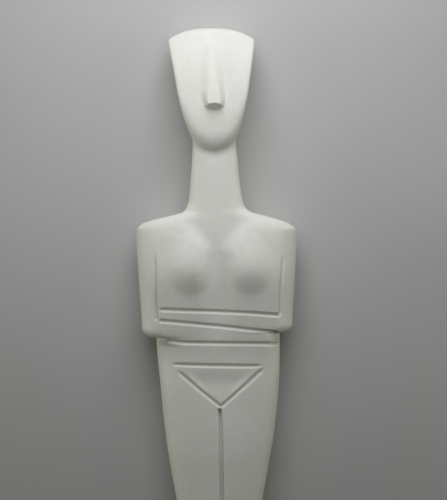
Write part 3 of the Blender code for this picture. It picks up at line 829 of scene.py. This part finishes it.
def back_depths(flat):
    """How deep the back is cut at each point, by the deepest of its lines."""
    arm_line = (ARM_LINE_WIDTH, ARM_LINE_DEPTH)
    cleft = (CLEFT_WIDTH, CLEFT_DEPTH)
    calf_cleft = (CALF_CLEFT_WIDTH, CALF_CLEFT_DEPTH)
    depths = [groove_depths(flat, line, arm_line) for line in BACK_ARM_LINES]
    depths += [groove_depths(flat, BACK_CLEFT, cleft, calf_cleft, tapers=(LINE_TAPER, NO_TAPER))]
    depths += [groove_depths(flat, SPINE_LINE, (SPINE_WIDTH, SPINE_DEPTH))]
    return np.max(depths, axis=0)


def carved(body):
    """The body with its lines cut along the surface's normals, kept inside the box of the solid."""
    points = body[:, :, [0, 3, 2]]
    flat = body[:, :, :2].reshape(-1, 2)
    normals = grid_normals(points)
    shape = body.shape[:2]
    depth = front_depths(flat).reshape(shape)
    depth[:, FRONT_POINTS:] = back_depths(flat).reshape(shape)[:, FRONT_POINTS:]
    points = points - normals * depth[:, :, None]
    low, high = np.array(CAD_BOX[0]), np.array(CAD_BOX[1])
    return np.clip(points, low, high)


def grid_faces(count, around):
    """Quads between neighbouring rings, and one face across each end."""
    faces = [tuple(range(around)), tuple(range((count - 1) * around, count * around))]
    for row in range(count - 1):
        here, below = row * around, (row + 1) * around
        for step in range(around):
            beside = (step + 1) % around
            faces.append((here + step, below + step, below + beside, here + beside))
    return faces


def cast_mesh():
    """The whole figure as one closed mesh, with its casting flaws."""
    points = carved(rings())
    count, around = points.shape[:2]
    mesh = bpy.data.meshes.new("figurine_cast")
    mesh.from_pydata(points.reshape(-1, 3).tolist(), [], grid_faces(count, around))
    work = bmesh.new()
    work.from_mesh(mesh)
    bmesh.ops.remove_doubles(work, verts=work.verts, dist=WELD_DISTANCE)
    bmesh.ops.triangulate(work, faces=[face for face in work.faces if len(face.verts) > 4])
    bmesh.ops.recalc_face_normals(work, faces=work.faces)
    for flaw in FLAWS:
        add_flaw(work, flaw)
    work.to_mesh(mesh)
    work.free()
    mesh.shade_smooth()
    return mesh


def add_flaw(work, flaw):
    """A small round nodule or pit in the front, on faces divided finely enough to hold it."""
    share, place, radius, height = flaw
    centre = Vector((float(across_body(place, share)), FIGURE_LENGTH * (0.5 - place)))
    reach = FLAW_PATCH * radius
    near = {v for v in work.verts if v.normal.z > FRONT_FACING and (v.co.xy - centre).length < reach}
    edges = [e for e in work.edges if e.verts[0] in near and e.verts[1] in near]
    bmesh.ops.subdivide_edges(work, edges=edges, cuts=FLAW_CUTS, use_grid_fill=True)
    work.normal_update()
    for vertex in work.verts:
        off = (vertex.co.xy - centre).length / (2 * radius)
        if off < 1 and vertex.normal.z > FRONT_FACING:
            vertex.co += vertex.normal * height * (1 - off * off) ** 2


def new_material(name):
    """A material with nodes, with its nodes and its links."""
    material = bpy.data.materials.new(name)
    material.use_nodes = True
    return material, material.node_tree.nodes, material.node_tree.links


def noise(nodes, links, scale, detail=4.0, roughness=0.55):
    """Noise in the object's own coordinates. The scale is in patches per metre."""
    place = nodes.new("ShaderNodeTexCoord")
    texture = nodes.new("ShaderNodeTexNoise")
    texture.inputs["Scale"].default_value = scale
    texture.inputs["Detail"].default_value = detail
    texture.inputs["Roughness"].default_value = roughness
    links.new(place.outputs["Object"], texture.inputs["Vector"])
    return texture.outputs["Fac"]


def spread(nodes, links, value, used, wanted=(0.0, 1.0)):
    """Takes the used range of a value to the wanted range."""
    node = nodes.new("ShaderNodeMapRange")
    for socket, number in zip(("From Min", "From Max", "To Min", "To Max"), (*used, *wanted)):
        node.inputs[socket].default_value = number
    links.new(value, node.inputs["Value"])
    return node.outputs["Result"]


def mixed(nodes, links, share, first, second):
    """A mix of two colours, or of a colour socket and a colour."""
    node = nodes.new("ShaderNodeMix")
    node.data_type = "RGBA"
    links.new(share, node.inputs["Factor"])
    for socket, colour in ((node.inputs[6], first), (node.inputs[7], second)):
        if isinstance(colour, tuple):
            socket.default_value = (*colour, 1.0)
        else:
            links.new(colour, socket)
    return node.outputs[2]


def specks(nodes, links, scale, radius, kept, strength):
    """The strength inside small round specks with soft edges, and 0 between them."""
    place = nodes.new("ShaderNodeTexCoord")
    cells = nodes.new("ShaderNodeTexVoronoi")
    cells.inputs["Scale"].default_value = scale
    links.new(place.outputs["Object"], cells.inputs["Vector"])
    spot = spread(nodes, links, cells.outputs["Distance"], (radius * 0.5, radius), (1.0, 0.0))
    split = nodes.new("ShaderNodeSeparateColor")
    links.new(cells.outputs["Color"], split.inputs["Color"])
    chosen = spread(nodes, links, split.outputs["Red"], (kept * 0.98, kept), (1.0, 0.0))
    both = nodes.new("ShaderNodeMath")
    both.operation = "MULTIPLY"
    links.new(spot, both.inputs[0])
    links.new(chosen, both.inputs[1])
    return spread(nodes, links, both.outputs[0], (0.0, 1.0), (0.0, strength))


def plaster_colour(nodes, links):
    """Faint clouds, a fine grain, and a few dark and pale specks."""
    clouds = spread(nodes, links, noise(nodes, links, CLOUD_SCALE), CLOUD_RANGE)
    colour = mixed(nodes, links, clouds, CLOUD_DARKER, CLOUD_LIGHTER)
    fine = noise(nodes, links, GRAIN_SCALE, detail=6.0)
    fine = spread(nodes, links, fine, GRAIN_RANGE, (0.0, GRAIN_STRENGTH))
    colour = mixed(nodes, links, fine, colour, GRAIN_COLOUR)
    colour = mixed(nodes, links, specks(nodes, links, *DARK_SPECKS), colour, DARK_SPECK)
    return mixed(nodes, links, specks(nodes, links, *PALE_SPECKS), colour, PALE_SPECK)


def plaster_bump(nodes, links):
    """A fine grain on a coarser one."""
    grain = nodes.new("ShaderNodeMath")
    grain.operation = "ADD"
    links.new(noise(nodes, links, FINE_BUMP_SCALE, detail=3.0), grain.inputs[0])
    links.new(noise(nodes, links, COARSE_BUMP_SCALE, detail=3.0), grain.inputs[1])
    bump = nodes.new("ShaderNodeBump")
    bump.inputs["Strength"].default_value = BUMP_STRENGTH
    bump.inputs["Distance"].default_value = BUMP_HEIGHT
    links.new(grain.outputs[0], bump.inputs["Height"])
    return bump.outputs["Normal"]


def plaster():
    """Fine off-white casting plaster, matte, with a little light passing under its surface."""
    material, nodes, links = new_material("casting_plaster")
    shader = nodes["Principled BSDF"]
    links.new(plaster_colour(nodes, links), shader.inputs["Base Color"])
    worn = spread(nodes, links, noise(nodes, links, WEAR_SCALE), WEAR_RANGE, ROUGHNESS_RANGE)
    links.new(worn, shader.inputs["Roughness"])
    links.new(plaster_bump(nodes, links), shader.inputs["Normal"])
    shader.inputs["Specular IOR Level"].default_value = PLASTER_SPECULAR
    shader.inputs["Subsurface Weight"].default_value = GLOW_WEIGHT
    shader.inputs["Subsurface Radius"].default_value = GLOW_COLOUR
    shader.inputs["Subsurface Scale"].default_value = GLOW_DEPTH
    return material


def figurine():
    """The visible figure, in the solid's place."""
    piece = bpy.data.objects.new("figurine_cast", cast_mesh())
    bpy.context.scene.collection.objects.link(piece)
    piece.data.materials.append(plaster())
    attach(piece, "root")
    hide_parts("figurine")


def floor():
    """A plain pale floor, just under the surface that the figure lies on."""
    mesh = bpy.data.meshes.new("floor")
    corners = [(x * FLOOR_REACH, y * FLOOR_REACH, 0) for x, y in ((-1, -1), (1, -1), (1, 1), (-1, 1))]
    mesh.from_pydata(corners, [], [(0, 1, 2, 3)])
    plane = bpy.data.objects.new("floor", mesh)
    plane.location.z = -FLOOR_GAP
    bpy.context.scene.collection.objects.link(plane)
    material, nodes, links = new_material("floor_paper")
    shader = nodes["Principled BSDF"]
    clouds = spread(nodes, links, noise(nodes, links, FLOOR_CLOUD_SCALE), FLOOR_CLOUD_RANGE)
    links.new(mixed(nodes, links, clouds, FLOOR_DARKER, FLOOR_LIGHTER), shader.inputs["Base Color"])
    shader.inputs["Roughness"].default_value = FLOOR_ROUGHNESS
    mesh.materials.append(material)


def area_light(name, place, size, power, colour):
    """A soft square light that faces LIGHT_AIM and isn't seen itself."""
    data = bpy.data.lights.new(name, "AREA")
    data.shape = "SQUARE"
    data.size = size
    data.energy = power
    data.color = colour
    light = bpy.data.objects.new(name, data)
    light.location = place
    light.rotation_euler = (Vector(LIGHT_AIM) - Vector(place)).to_track_quat("-Z", "Y").to_euler()
    light.visible_camera = False
    bpy.context.scene.collection.objects.link(light)


def lights():
    """Two soft keys past the head, a strong low light from the right and two weaker ones from the left."""
    for name, (place, size, power, colour) in LIGHTS.items():
        area_light(name, place, size, power, colour)
    world = bpy.data.worlds.new("studio")
    world.use_nodes = True
    background = world.node_tree.nodes["Background"]
    background.inputs["Color"].default_value = WORLD_COLOUR
    background.inputs["Strength"].default_value = WORLD_STRENGTH
    bpy.context.scene.world = world


def camera():
    """Straight above the middle of the photo, with the photo's share of the figure."""
    data = bpy.data.cameras.new("camera")
    data.sensor_width = SENSOR_WIDTH
    data.lens = SENSOR_WIDTH * (CAMERA_HEIGHT - SEEN_HEIGHT) / SEEN_WIDTH
    data.clip_start, data.clip_end = CLIP_RANGE
    eye = bpy.data.objects.new("camera", data)
    eye.location = (*CAMERA_PLACE, CAMERA_HEIGHT)
    bpy.context.scene.collection.objects.link(eye)
    bpy.context.scene.camera = eye


figurine()
floor()
lights()
camera()
bpy.context.scene.view_settings.view_transform = "Standard"
